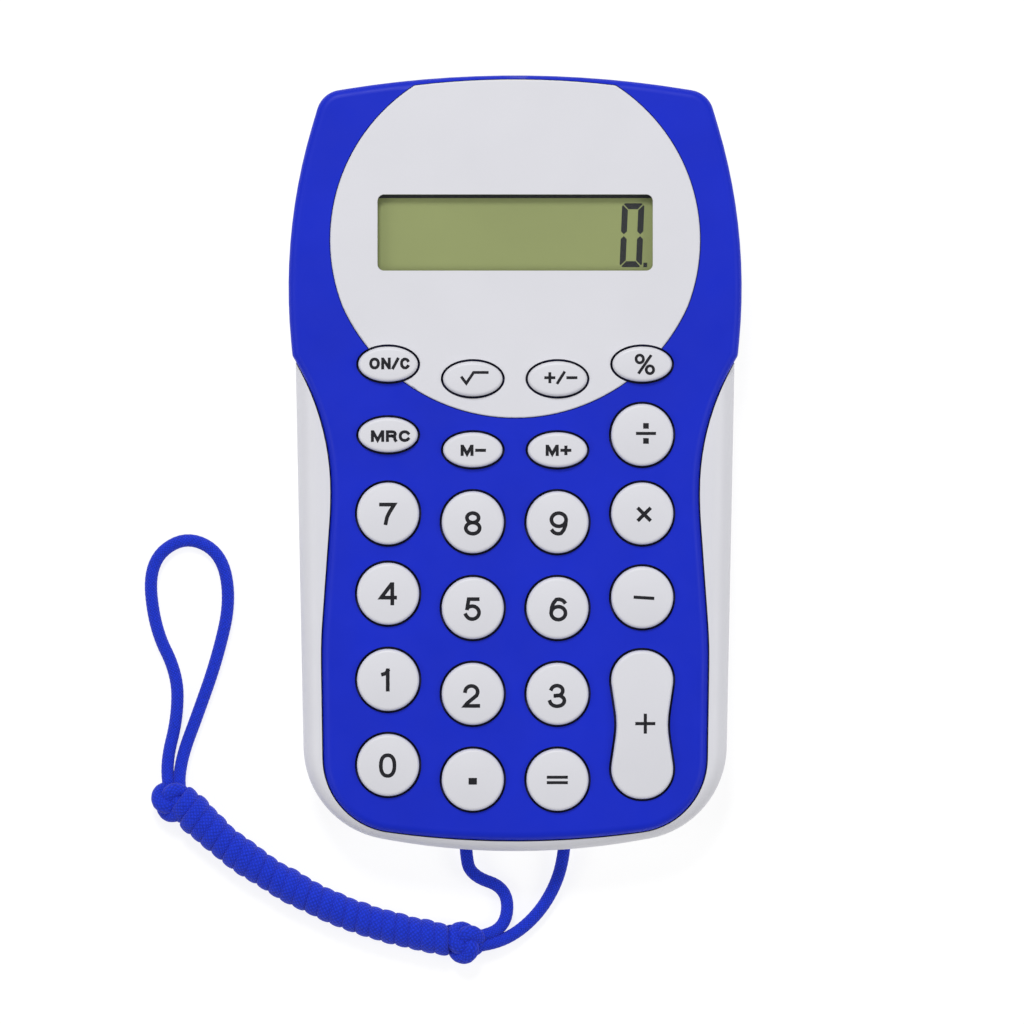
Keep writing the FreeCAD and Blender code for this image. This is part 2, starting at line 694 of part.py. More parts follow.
def build_rear_case():
    shell = prism("rear_block", rear_outline, CASE_FLOOR, WING_TOP)
    shell = rounded("rear_soft_top", shell, "wing_edge_round", flat_at(WING_TOP))
    shell = rounded("rear_soft_foot", shell, "rear_edge_round", flat_at(CASE_FLOOR))
    inside = inset("rear_inside", rear_outline, "case_wall")
    tools = [prism("rear_room", inside, FLOOR_INSIDE, f"{WING_TOP} - case_wall"),
             prism("front_clearance", inset("front_seat", front_outline, "-wing_gap"), PARTING,
                   f"{WING_TOP} + {PAST}")]
    hollow = cut("rear_shell", shell, tools)
    bosses = [cylinder(f"rear_boss_{i}", x, y, f"{FLOOR_INSIDE} - {SUNK}", f"{PARTING} - parting_gap",
                       "rear_boss") for i, (x, y) in enumerate(CASE_SCREWS)]
    bossed = fused("rear_bossed", [hollow] + bosses)
    tools = []
    for i, (x, y) in enumerate(CASE_SCREWS):
        tools.append(cylinder(f"rear_bore_{i}", x, y, f"{CASE_FLOOR} - {PAST}", f"{PARTING} + {PAST}",
                              "case_screw_shank + 4 * screw_fit"))
        tools.append(cylinder(f"rear_counterbore_{i}", x, y, f"{CASE_FLOOR} - {PAST}",
                              f"{CASE_FLOOR} + case_screw_seat", "case_screw_head + 2 * head_gap"))
    for i, (x, y) in enumerate(FEET):
        tools.append(cylinder(f"foot_pocket_{i}", x, y, f"{CASE_FLOOR} - {PAST}",
                              f"{CASE_FLOOR} + foot_recess", "foot_diameter + screw_fit"))
    for i, sign in enumerate(("", "-")):
        eyelet = doc.addObject("Part::Cylinder", f"eyelet_{i}")
        bind(eyelet, Radius="eyelet_diameter / 2", Height="case_wall * 4",
             Placement__Base__x=f"{sign}eyelet_x",
             Placement__Base__y=f"-{HALF_LENGTH} + case_wall * 2",
             Placement__Base__z="eyelet_height")
        eyelet.Placement.Rotation = Rotation(Vector(1, 0, 0), 90)
        tools.append(eyelet)
    tools.append(cylinder("cover_opening", BATTERY_X, BATTERY_ROW, f"{CASE_FLOOR} - {PAST}",
                          f"{FLOOR_INSIDE} + {PAST}", f"{COVER_DIAMETER} + 2 * cover_gap"))
    tools += lugs("lug_notch", f"{CASE_FLOOR} - {PAST}", f"{FLOOR_INSIDE} + {PAST}",
                  "lug_reach + cover_gap", "lug_width + 2 * notch_margin", -OPEN_TURN)
    finished("rear_case", cut("rear_cut", bossed, tools))


def build_battery_cover():
    disc = cylinder("cover_disc", BATTERY_X, BATTERY_ROW, CASE_FLOOR, FLOOR_INSIDE,
                    COVER_DIAMETER)
    rim = cylinder("cover_rim_outside", BATTERY_X, BATTERY_ROW, FLOOR_INSIDE,
                   f"{FLOOR_INSIDE} + cover_rim_rise", COVER_DIAMETER)
    bars = lugs("cover_lug", f"{FLOOR_INSIDE} + cover_gap",
                f"{FLOOR_INSIDE} + cover_gap + lug_thickness", "lug_reach", "lug_width", 0)
    solid = fused("cover_solid", [disc, rim] + bars)
    room = cylinder("cover_room", BATTERY_X, BATTERY_ROW, FLOOR_INSIDE,
                    f"{FLOOR_INSIDE} + 3", f"{COVER_DIAMETER} - 2 * cover_rim")
    slot = rounded_block("coin_slot", BATTERY_X, BATTERY_ROW, f"{CASE_FLOOR} - {PAST}",
                         f"{CASE_FLOOR} + slot_depth", "slot_length", "slot_width",
                         "slot_width * 0.49")
    finished("battery_cover", cut("cover_cut", solid, [room, slot]))


build_rear_case()
build_battery_cover()


def build_feet():
    pads = []
    for i, (x, y) in enumerate(FEET):
        pad = cylinder(f"foot_{i}", x, y, "0", f"{CASE_FLOOR} + foot_recess", "foot_diameter")
        pads.append(rounded(f"foot_soft_{i}", pad, "foot_proud / 2", flat_at("0")))
    group("rubber_feet", pads)


def screw(name, x, y, head_low, head_thickness, head, shank, bite, top):
    """A pan head with a crossed recess below and a shank above."""
    parts = [cylinder(name + "_head", x, y, head_low, f"{head_low} + {head_thickness}", head),
             cylinder(name + "_shank", x, y, f"{head_low} + {head_thickness}",
                      f"{top} + {bite}", shank)]
    solid = fused(name + "_solid", parts)
    solid = rounded(name + "_soft", solid, f"{head_thickness} / 3",
                    lambda edge: flat_at(head_low)(edge) and edge.Length > number(head))
    cross = [block(f"{name}_cross_{i}", x, y, f"{head_low} - {PAST}", f"{head_low} + recess_depth",
                   *size) for i, size in enumerate(((f"{head} * recess_reach", "recess_width"),
                                                    ("recess_width", f"{head} * recess_reach")))]
    return cut(name, solid, cross)


def build_screws():
    seat = f"({CASE_FLOOR} + case_screw_seat - case_screw_head_thickness)"
    group("case_screws", [
        screw(f"case_screw_{i}", x, y, seat, "case_screw_head_thickness", "case_screw_head",
              "case_screw_shank", "case_screw_bite", PARTING)
        for i, (x, y) in enumerate(CASE_SCREWS)])
    seat = f"({BOARD_BACK} - board_screw_head_thickness)"
    group("board_screws", [
        screw(f"board_screw_{i}", x, y, seat, "board_screw_head_thickness", "board_screw_head",
              "board_screw_shank", "board_screw_bite", BOARD_FRONT)
        for i, (x, y) in enumerate(BOARD_SCREWS)])


build_feet()
build_screws()

# ---------------------------------------------------------------- electronics

BOARD_LOW = f"(-{HALF_LENGTH} + board_bottom_margin + chin_step)"


def build_board():
    wide = "board_width / 2"
    top = f"{HALF_LENGTH} - board_top_margin"
    plan = outline("board_outline", [
        (wide, BOARD_LOW, "board_corner"), (wide, top, "board_top_corner"),
        (f"-{wide}", top, "board_top_corner"), (f"-{wide}", BOARD_LOW, "board_corner")])
    plate = prism("board_plate", plan, BOARD_BACK, BOARD_FRONT)
    tools = [cylinder(f"board_hole_{i}", x, y, f"{BOARD_BACK} - {PAST}", f"{BOARD_FRONT} + {PAST}",
                      "board_screw_shank + 4 * screw_fit")
             for i, (x, y) in enumerate(BOARD_SCREWS)]
    tools += [cylinder(f"boss_hole_{i}", x, y, f"{BOARD_BACK} - {PAST}", f"{BOARD_FRONT} + {PAST}",
                       "rear_boss + 2 * head_gap") for i, (x, y) in enumerate(CASE_SCREWS)]
    finished("circuit_board", cut("board_cut", plate, tools))


def build_membrane():
    wide = "(board_width / 2 - mat_margin)"
    top = f"{HALF_LENGTH} - mat_top_drop"
    low = f"{BOARD_LOW} + mat_margin"
    plan = outline("mat_outline", [
        (wide, low, "board_corner - mat_margin"), (wide, top, "board_top_corner"),
        (f"-{wide}", top, "board_top_corner"),
        (f"-{wide}", low, "board_corner - mat_margin")])
    mat = prism("mat_sheet", plan, BOARD_FRONT, MAT_TOP)
    domes = []
    for key, (shape, x, y) in KEYS.items():
        dome = doc.addObject("Part::Cone", key + "_dome")
        bind(dome, Radius1="dome_base / 2", Radius2="dome_top / 2", Height="dome_rise",
             Placement__Base__x=x, Placement__Base__y=y, Placement__Base__z=MAT_TOP)
        domes.append(dome)
    solid = fused("mat_domed", [mat] + domes)
    tools = [cylinder(f"mat_hole_{i}", x, y, f"{BOARD_FRONT} - {PAST}", f"{MAT_TOP} + {PAST}",
                      "board_boss + 2 * head_gap") for i, (x, y) in enumerate(BOARD_SCREWS)]
    tools += [cylinder(f"mat_boss_hole_{i}", x, y, f"{BOARD_FRONT} - {PAST}", f"{MAT_TOP} + {PAST}",
                       "front_boss + 2 * head_gap") for i, (x, y) in enumerate(CASE_SCREWS)]
    finished("keypad_membrane", cut("mat_cut", solid, tools))


def build_display():
    pane_top = PANEL_BACK
    pane_low = f"({PANEL_BACK} - pane_thickness)"
    width = "window_width + 2 * pane_border"
    height = "window_height + 2 * pane_border"
    finished("display_window", rounded_block("pane", "0", WINDOW_CENTRE, pane_low, pane_top,
                                             width, height, "window_corner"))
    glass_top = f"({FACE_INSIDE} - film_thickness)"
    middle = f"({glass_top} - glass_thickness)"
    low = f"({middle} - glass_thickness)"
    film_low = f"({low} - film_thickness)"
    tall = "(window_height + 2 * glass_border)"
    short = f"({tall} - ledge)"
    short_row = f"({WINDOW_CENTRE} + ledge / 2)"
    finished("lcd_front_polariser", block("front_film", "0", WINDOW_CENTRE, glass_top,
                                          FACE_INSIDE, width, height))
    finished("lcd_front_glass", block("front_glass", "0", WINDOW_CENTRE, middle, glass_top,
                                      "glass_width", tall))
    finished("lcd_rear_glass", block("rear_glass", "0", short_row, low, middle, "glass_width",
                                     short))
    finished("lcd_reflector", block("rear_film", "0", short_row, film_low, low, width,
                                    f"{short} - 2 * film_thickness"))
    low_edge = f"({WINDOW_CENTRE} - {tall} / 2)"
    finished("zebra_connector", block("zebra", "0", f"{low_edge} + zebra_width / 2 + zebra_margin",
                                      BOARD_FRONT, middle,
                                      "glass_width - 2 * zebra_inset", "zebra_width"))
    frame = block("holder_block", "0", short_row, BOARD_FRONT, film_low, "glass_width", short)
    room = block("holder_room", "0", short_row, f"{BOARD_FRONT} - {PAST}", f"{film_low} + {PAST}",
                 "glass_width - 2 * holder_wall", f"{short} - 2 * holder_wall")
    finished("lcd_holder", cut("holder_cut", frame, [room]))


def build_battery():
    finished("button_cell", rounded("cell_soft", cylinder(
        "cell", BATTERY_X, BATTERY_ROW, CELL_BACK, CELL_FRONT, "cell_diameter"),
        "contact_thickness", lambda edge: edge.Closed and edge.BoundBox.ZLength < 0.01))
    leaf = block("negative_leaf", BATTERY_X, BATTERY_ROW, CELL_FRONT,
                 f"{CELL_FRONT} + contact_thickness", "cell_diameter * 0.6", "contact_width")
    foot = block("negative_foot", f"{BATTERY_X} + cell_diameter * 0.3", BATTERY_ROW, CELL_FRONT,
                 BOARD_BACK, "contact_width", "contact_width")
    finished("battery_contact_negative", fused("negative_contact", [leaf, foot]))
    side = f"({BATTERY_X} - cell_diameter / 2 - contact_thickness / 2)"
    clip = block("positive_clip", side, BATTERY_ROW, f"{CELL_FRONT} - cell_thickness * 0.6",
                 BOARD_BACK, "contact_thickness", "contact_width")
    tab = block("positive_tab", f"{side} - contact_width / 2", BATTERY_ROW,
                f"{BOARD_BACK} - contact_thickness", BOARD_BACK, "contact_width",
                "contact_width")
    finished("battery_contact_positive", fused("positive_contact", [clip, tab]))


def build_components():
    dome = cylinder("blob", "0", "0", f"{BOARD_BACK} - blob_thickness", BOARD_BACK,
                    "blob_diameter")
    finished("controller_blob", rounded("blob_soft", dome, "blob_thickness * 0.8",
                                        flat_at(f"{BOARD_BACK} - blob_thickness")))
    can = doc.addObject("Part::Cylinder", "capacitor_can")
    bind(can, Radius="capacitor_diameter / 2", Height="capacitor_length",
         Placement__Base__x="board_width / 4", Placement__Base__y=BATTERY_ROW,
         Placement__Base__z=f"{BOARD_BACK} - capacitor_diameter / 2")
    can.Placement.Rotation = Rotation(Vector(0, 1, 0), 90)
    finished("filter_capacitor", can)
    finished("oscillator_resistor", block("resistor", "blob_diameter", "0",
                                          f"{BOARD_BACK} - resistor_thickness", BOARD_BACK,
                                          "resistor_width", "resistor_length"))


build_board()
build_membrane()
build_display()
build_battery()
build_components()

# ---------------------------------------------------------------- lanyard

# Each route is a list of corner points; the cord runs straight between them and turns in arcs.
TETHER_ROUTE = [
    (-6.2, -71.9, 2.6),
    (-1.3, -70.2, 1.6),
    (-1.1, -64.3, 1.2),
    (-6.8, -62.3, 2.4),
    (-7.5, -58.6, 3.2),
    (-7.4, -54.3, 3.3),
    (0.0, -53.9, 3.3),
    (7.4, -54.3, 3.3),
    (7.5, -58.6, 3.2),
    (6.3, -63.6, 1.7),
    (3.4, -68.4, 1.3),
    (-1.0, -72.0, 1.6),
    (-6.2, -73.2, 2.6),
]
WHIPPING_ROUTE = [
    (-9.7, -72.2, 2.7),
    (-16.0, -71.0, 2.7),
    (-25.3, -68.3, 2.7),
    (-34.4, -63.9, 2.7),
    (-42.4, -58.7, 2.7),
    (-47.6, -54.1, 2.7),
    (-50.3, -51.2, 2.7),
]
WRIST_ROUTE = [
    (-51.0, -50.2, 2.4),
    (-50.7, -44.8, 1.1),
    (-48.0, -37.6, 1.0),
    (-45.2, -29.6, 1.0),
    (-43.1, -20.6, 1.0),
    (-44.6, -13.3, 1.0),
    (-50.3, -10.8, 1.0),
    (-55.6, -15.0, 1.0),
    (-54.7, -24.8, 1.0),
    (-51.2, -31.8, 1.0),
    (-51.2, -38.4, 1.0),
    (-52.9, -45.2, 1.1),
    (-52.3, -50.2, 2.4),
]
LOWER_KNOT = (-7.6, -72.4, 2.75)
UPPER_KNOT = (-52.0, -51.0, 2.75)


def route_wire(name, points):
    """Straight runs joined by the largest arcs that 0.45 of the shorter run allows."""
    spots = [Vector(*point) for point in points]
    edges = []
    radii = []
    here = spots[0]
    for before, corner, after in zip(spots, spots[1:], spots[2:]):
        back = before - corner
        ahead = after - corner
        reach = 0.45 * min(back.Length, ahead.Length)
        half = back.getAngle(ahead) / 2
        radius = reach * math.tan(half)
        radii.append(round(radius, 1))
        inward = (Vector(back).normalize() + Vector(ahead).normalize()).normalize()
        start = corner + Vector(back).normalize() * reach
        end = corner + Vector(ahead).normalize() * reach
        middle = corner + inward * (radius / math.sin(half) - radius)
        edges.append(Part.LineSegment(here, start).toShape())
        edges.append(Part.Arc(start, middle, end).toShape())
        here = end
    edges.append(Part.LineSegment(here, spots[-1]).toShape())
    wire = doc.addObject("Part::Feature", name)
    wire.Shape = Part.Wire(edges)
    print(name, "length", round(wire.Shape.Length, 1), "radii", radii)
    return wire


def tube(node, points, diameter):
    """A round bar swept along a route."""
    spine = route_wire(node + "_route", points)
    ring = doc.addObject("Part::Circle", node + "_section")
    bind(ring, Radius=f"{diameter} / 2")
    start = Vector(*points[0])
    heading = Vector(*points[1]) - start
    ring.Placement = Placement(start, Rotation(Vector(0, 0, 1), heading))
    sweep = doc.addObject("Part::Sweep", node + "_sweep")
    sweep.Sections = [ring]
    sweep.Spine = (spine, [f"Edge{i + 1}" for i in range(len(spine.Shape.Edges))])
    sweep.Solid = True
    sweep.Frenet = False
    doc.recompute()
    expected = math.pi * (number(diameter) / 2) ** 2 * spine.Shape.Length
    print(node, "volume", round(sweep.Shape.Volume, 1), "expected", round(expected, 1))
    return finished(node, sweep)


def knot(node, centre, heading, length, width):
    """The outer shape of a knot: an egg lying along a heading."""
    egg = doc.addObject("Part::Ellipsoid", node + "_egg")
    bind(egg, Radius1="knot_thickness / 2", Radius2=f"{length} / 2", Radius3=f"{width} / 2")
    egg.Placement = Placement(Vector(*centre), Rotation(Vector(0, 0, 1), heading))
    return finished(node, egg)


tube("lanyard_tether", TETHER_ROUTE, "cord_diameter")
tube("lanyard_whipping", WHIPPING_ROUTE, "whipping_diameter")
tube("lanyard_wrist_loop", WRIST_ROUTE, "cord_diameter")
knot("lanyard_lower_knot", LOWER_KNOT, 98, "knot_length", "knot_width")
knot("lanyard_upper_knot", UPPER_KNOT, 10, "knot_length", "knot_width")

# ---------------------------------------------------------------- check and write

doc.recompute()
for feature in doc.Objects:
    broken = [word for word in feature.State if word in ("Invalid", "Error")]
    if broken:
        raise RuntimeError(f"{feature.Label} failed: {feature.State}")
for feature in subparts:
    if feature.Shape.isNull() or not feature.Shape.isValid() or not feature.Shape.Solids:
        raise RuntimeError(f"{feature.Label} has no valid solid")

os.makedirs("parts", exist_ok=True)
for feature in subparts:
    feature.Shape.exportStep(os.path.join("parts", feature.Label + ".step"))
print(len(subparts), "sub-parts written")
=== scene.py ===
import json
import math
import random

import bmesh
import bpy
import numpy as np
from mathutils import Matrix, Vector
from mathutils.bvhtree import BVHTree


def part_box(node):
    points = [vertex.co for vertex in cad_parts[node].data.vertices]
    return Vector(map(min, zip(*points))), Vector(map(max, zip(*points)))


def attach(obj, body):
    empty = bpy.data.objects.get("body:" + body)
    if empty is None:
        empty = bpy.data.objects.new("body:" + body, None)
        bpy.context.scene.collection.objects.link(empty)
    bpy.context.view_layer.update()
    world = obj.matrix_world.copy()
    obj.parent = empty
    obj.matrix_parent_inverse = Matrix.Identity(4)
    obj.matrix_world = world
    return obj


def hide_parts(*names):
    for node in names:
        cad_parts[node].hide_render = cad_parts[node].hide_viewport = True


# A pocket calculator with a wrist lanyard. Everything is in metres.

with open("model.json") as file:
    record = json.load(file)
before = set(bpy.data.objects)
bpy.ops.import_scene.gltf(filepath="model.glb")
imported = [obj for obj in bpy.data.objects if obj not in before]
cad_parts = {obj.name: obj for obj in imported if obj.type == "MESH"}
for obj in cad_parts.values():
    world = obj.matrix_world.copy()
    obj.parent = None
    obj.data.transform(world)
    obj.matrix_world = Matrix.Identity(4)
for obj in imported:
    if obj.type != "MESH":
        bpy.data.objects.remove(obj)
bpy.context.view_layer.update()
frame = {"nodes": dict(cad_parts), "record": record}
NODES = frame["nodes"]
BODY_OF = {node: body for body, members in frame["record"]["behaviour"]["bodies"].items()
           for node in members}
CASE = "calculator"
MM = 0.001
random.seed(7)


def middle(node):
    """The centre of a node's box."""
    low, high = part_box(node)
    return (Vector(low) + Vector(high)) / 2


def top_of(node):
    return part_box(node)[1][2]


# ---------------------------------------------------------------- node materials

def material(name, colour, roughness, specular=0.5, metallic=0.0):
    """A principled material with its plain values set on the shader itself."""
    made = bpy.data.materials.new(name)
    made.use_nodes = True
    shader = made.node_tree.nodes["Principled BSDF"]
    shader.inputs["Base Color"].default_value = (*colour, 1.0)
    shader.inputs["Roughness"].default_value = roughness
    shader.inputs["Specular IOR Level"].default_value = specular
    shader.inputs["Metallic"].default_value = metallic
    return made, made.node_tree, shader


def noise(tree, scale, detail=3.0):
    """A noise texture on object coordinates, so it keeps its size in metres."""
    where = tree.nodes.new("ShaderNodeTexCoord")
    texture = tree.nodes.new("ShaderNodeTexNoise")
    texture.inputs["Scale"].default_value = scale
    texture.inputs["Detail"].default_value = detail
    tree.links.new(where.outputs["Object"], texture.inputs["Vector"])
    return texture


def ramp(tree, source, low, high, start=0.3, end=0.7):
    """A colour ramp between two colours, driven by a texture."""
    made = tree.nodes.new("ShaderNodeValToRGB")
    made.color_ramp.elements[0].color = (*low, 1.0)
    made.color_ramp.elements[1].color = (*high, 1.0)
    made.color_ramp.elements[0].position = start
    made.color_ramp.elements[1].position = end
    tree.links.new(source, made.inputs["Fac"])
    return made


def bump(tree, shader, height, strength, distance):
    made = tree.nodes.new("ShaderNodeBump")
    made.inputs["Strength"].default_value = strength
    made.inputs["Distance"].default_value = distance
    tree.links.new(height, made.inputs["Height"])
    tree.links.new(made.outputs["Normal"], shader.inputs["Normal"])
    return made


def tinted(colour, factor):
    return tuple(channel * factor for channel in colour)


def moulded(name, colour, roughness, grain=2600.0, grain_height=0.000006, drift=0.05,
            specular=0.5):
    """Moulded plastic: spark-eroded grain, a faint drift in tone and in gloss."""
    made, tree, shader = material(name, colour, roughness, specular)
    cloud = noise(tree, 70.0)
    tone = ramp(tree, cloud.outputs["Fac"], tinted(colour, 1 - drift), tinted(colour, 1 + drift))
    tree.links.new(tone.outputs["Color"], shader.inputs["Base Color"])
    gloss = ramp(tree, noise(tree, 240.0).outputs["Fac"], (roughness - 0.04,) * 3,
                 (roughness + 0.05,) * 3)
    tree.links.new(gloss.outputs["Color"], shader.inputs["Roughness"])
    bump(tree, shader, noise(tree, grain, 2.0).outputs["Fac"], 0.35, grain_height)
    return made


def painted_shade_below(made, height, depth, shade):
    """Painted shade: turns a moulded material darker below a height, a painted shadow in the gap
    round a key.
    """
    tree = made.node_tree
    shader = tree.nodes["Principled BSDF"]
    tone = shader.inputs["Base Color"].links[0].from_socket
    where = tree.nodes.new("ShaderNodeTexCoord")
    split = tree.nodes.new("ShaderNodeSeparateXYZ")
    tree.links.new(where.outputs["Object"], split.inputs["Vector"])
    level = tree.nodes.new("ShaderNodeMapRange")
    level.inputs["From Min"].default_value = height - depth
    level.inputs["From Max"].default_value = height
    tree.links.new(split.outputs["Z"], level.inputs["Value"])
    mix = tree.nodes.new("ShaderNodeMix")
    mix.data_type = "RGBA"
    mix.inputs[6].default_value = (*shade, 1.0)
    tree.links.new(level.outputs["Result"], mix.inputs["Factor"])
    tree.links.new(tone, mix.inputs[7])
    tree.links.new(mix.outputs[2], shader.inputs["Base Color"])
    return made


def braided(name, colour, strands=12):
    """Braided cord: strands crossing both ways along the UV map, under a fuzz of fibres; the
    colour is painted shade in the weave's hollows and painted highlight on the strands, with
    random fibre tone from the fuzz.
    """
    made, tree, shader = material(name, colour, 0.85, 0.2)
    uv = tree.nodes.new("ShaderNodeUVMap")
    uv.uv_map = "UVMap"
    heights = []
    for lean in (1.0, -1.0):
        turned = tree.nodes.new("ShaderNodeMapping")
        turned.inputs["Scale"].default_value = (1.0, lean, 1.0)
        tree.links.new(uv.outputs["UV"], turned.inputs["Vector"])
        wave = tree.nodes.new("ShaderNodeTexWave")
        wave.bands_direction = "DIAGONAL"
        wave.inputs["Scale"].default_value = strands * math.pi / 5
        wave.inputs["Distortion"].default_value = 1.6
        wave.inputs["Detail Scale"].default_value = 3.0
        tree.links.new(turned.outputs["Vector"], wave.inputs["Vector"])
        heights.append(wave.outputs["Fac"])
    weave = tree.nodes.new("ShaderNodeMath")
    weave.operation = "MULTIPLY"
    tree.links.new(heights[0], weave.inputs[0])
    tree.links.new(heights[1], weave.inputs[1])
    fuzz = noise(tree, 3200.0, 6.0)
    height = tree.nodes.new("ShaderNodeMath")
    height.operation = "ADD"
    tree.links.new(weave.outputs["Value"], height.inputs[0])
    tree.links.new(fuzz.outputs["Fac"], height.inputs[1])
    # Painted shade and highlight: the weave's hollows are darkened and the strand tops lightened;
    # the fuzz adds random fibre tone.
    tone = ramp(tree, height.outputs["Value"], tinted(colour, 0.62), tinted(colour, 1.3),
                0.3, 1.25)
    tree.links.new(tone.outputs["Color"], shader.inputs["Base Color"])
    bump(tree, shader, height.outputs["Value"], 0.8, 0.00009)
    shader.inputs["Sheen Weight"].default_value = 0.12
    shader.inputs["Sheen Roughness"].default_value = 0.5
    return made


def metal(name, colour, roughness):
    made, tree, shader = material(name, colour, roughness, metallic=1.0)
    scratch = noise(tree, 900.0, 5.0)
    gloss = ramp(tree, scratch.outputs["Fac"], (roughness - 0.08,) * 3, (roughness + 0.12,) * 3)
    tree.links.new(gloss.outputs["Color"], shader.inputs["Roughness"])
    bump(tree, shader, scratch.outputs["Fac"], 0.2, 0.00001)
    return made


def clear(name, colour, alpha, roughness=0.04):
    made, tree, shader = material(name, colour, roughness, 0.25)
    shader.inputs["Alpha"].default_value = alpha
    bump(tree, shader, noise(tree, 40.0, 1.0).outputs["Fac"], 0.05, 0.00005)
    return made


BLUE = (0.004, 0.020, 0.54)
LIGHT = (0.70, 0.70, 0.745)
MATERIALS = {
    "blue_plastic": moulded("blue_plastic", BLUE, 0.46, specular=0.2),
    "light_plastic": moulded("light_plastic", LIGHT, 0.46, drift=0.012),
    "clear_window": clear("clear_window", (0.5, 0.55, 0.5), 0.02),
    "lcd_glass": clear("lcd_glass", (0.8, 0.85, 0.75), 0.3),
    "lcd_film": moulded("lcd_film", (0.285, 0.325, 0.125), 0.45, 900.0, 0.000002, 0.03, 0.2),
    "inner_plastic": moulded("inner_plastic", (0.45, 0.45, 0.45), 0.5),
    # Silicone mat: near black, partly its own colour and partly painted shade, darkening the gaps
    # round the keys.
    "silicone": moulded("silicone", (0.05, 0.05, 0.06), 0.7),
    "board": moulded("board", (0.01, 0.12, 0.045), 0.35, 700.0, 0.00001, 0.15),
    "epoxy": moulded("epoxy", (0.012, 0.012, 0.013), 0.3),
    "component_metal": metal("component_metal", (0.62, 0.62, 0.63), 0.32),
    "screw_steel": metal("screw_steel", (0.5, 0.5, 0.51), 0.36),
    "foot_rubber": moulded("foot_rubber", (0.02, 0.02, 0.022), 0.8, 1800.0, 0.00002, 0.2),
    "blue_cord": braided("blue_cord", (0.008, 0.032, 0.56)),
}
# Dark ink for the legends and the digit; the same material makes the painted shadow along the
# display's top edge.
INK_AND_SHADOW_PAINT = moulded("legend_ink_and_painted_shadow", (0.012, 0.012, 0.016), 0.5, specular=0.2)

# Key plastic with painted shade: below the key face the keys' sides turn dark navy, a painted
# shadow for the gap round each key.
KEY_PLASTIC = painted_shade_below(moulded("key_plastic", LIGHT, 0.44, drift=0.012),
                           top_of("front_case") + 0.3 * MM, 0.8 * MM, (0.03, 0.03, 0.15))

for entry in frame["record"]["subparts"]:
    node = entry["node"]
    mesh = NODES[node].data
    mesh.materials.clear()
    mesh.materials.append(KEY_PLASTIC if node.startswith("key_") else
                          MATERIALS[entry["material_slot"]])


# ---------------------------------------------------------------- mesh helpers

def new_object(name, bm, *materials):
    """A smooth-shaded object from a bmesh."""
    mesh = bpy.data.meshes.new(name)
    bm.to_mesh(mesh)
    bm.free()
    for polygon in mesh.polygons:
        polygon.use_smooth = True
    made = bpy.data.objects.new(name, mesh)
    bpy.context.scene.collection.objects.link(made)
    for entry in materials:
        mesh.materials.append(entry)
    return made


def smooth_route(points, resolution=24):
    """Points along the NURBS spline that has these control points."""
    curve = bpy.data.curves.new("route", "CURVE")
    curve.dimensions = "3D"
    spline = curve.splines.new("NURBS")
    spline.points.add(len(points) - 1)
    for point, place in zip(spline.points, points):
        point.co = (*place, 1.0)
    spline.order_u = 3
    spline.use_endpoint_u = True
    spline.resolution_u = resolution
    holder = bpy.data.objects.new("route", curve)
    bpy.context.scene.collection.objects.link(holder)
    line = bpy.data.meshes.new_from_object(holder)
    path = [vertex.co.copy() for vertex in line.vertices]
    bpy.data.objects.remove(holder)
    bpy.data.curves.remove(curve)
    bpy.data.meshes.remove(line)
    return path


def evenly(path, step):
    """The same path with its points a fixed step apart."""
    marks = [0.0]
    for here, there in zip(path, path[1:]):
        marks.append(marks[-1] + (there - here).length)
    count = max(2, round(marks[-1] / step) + 1)
    wanted = np.linspace(0.0, marks[-1], count)
    columns = [np.interp(wanted, marks, [point[axis] for point in path]) for axis in range(3)]
    return [Vector(place) for place in zip(*columns)]


def carried_frames(path):
    """For each point of a path: its heading and two directions across it, without twist."""
    frames = []
    for i, point in enumerate(path):
        ahead = path[min(i + 1, len(path) - 1)] - path[max(i - 1, 0)]
        heading = ahead.normalized()
        if frames:
            side = frames[-1][1]
        else:
            side = heading.cross(Vector((0, 0, 1)))
        side = (side - heading * side.dot(heading)).normalized()
        frames.append((heading, side, heading.cross(side)))
    return frames


def swept_tube(name, path, section, *materials, around=20):
    """A closed tube along a path; section(i, angle) is the way from point i to its surface."""
    bm = bmesh.new()
    uv_layer = bm.loops.layers.uv.new("UVMap")
    rings = []
    travelled = [0.0]
    for here, there in zip(path, path[1:]):
        travelled.append(travelled[-1] + (there - here).length)
    for i, point in enumerate(path):
        ring = [bm.verts.new(point + section(i, 2 * math.pi * k / around)) for k in range(around)]
        rings.append(ring)
    turn = 2 * math.pi * (CORD / 2)
    for i in range(len(rings) - 1):
        for k in range(around):
            n = (k + 1) % around
            face = bm.faces.new((rings[i][k], rings[i][n], rings[i + 1][n], rings[i + 1][k]))
            steps = ((i, k), (i, k + 1), (i + 1, k + 1), (i + 1, k))
            for loop, (row, column) in zip(face.loops, steps):
                loop[uv_layer].uv = (travelled[row] / turn, column / around)
    for ring, point in ((rings[0], path[0]), (rings[-1], path[-1])):
        centre = bm.verts.new(point)
        for k in range(around):
            bm.faces.new((ring[(k + 1) % around], ring[k], centre))
    bmesh.ops.recalc_face_normals(bm, faces=bm.faces)
    return new_object(name, bm, *materials)


# ---------------------------------------------------------------- camera

PHOTO_WIDTH = 0.1536       # what the picture's side covers on the key face
AIM_X = -0.00047
AIM_Y = -0.00727
LENS = 250.0
SENSOR = 36.0


def add_camera():
    data = bpy.data.cameras.new("camera")
    data.lens = LENS
    data.sensor_width = SENSOR
    data.clip_start = 0.01
    data.clip_end = 20.0
    camera = bpy.data.objects.new("camera", data)
    height = PHOTO_WIDTH * LENS / SENSOR
    camera.location = (AIM_X, AIM_Y, top_of("front_case") + height)
    bpy.context.scene.collection.objects.link(camera)
    bpy.context.scene.camera = camera


add_camera()

# ---------------------------------------------------------------- lanyard

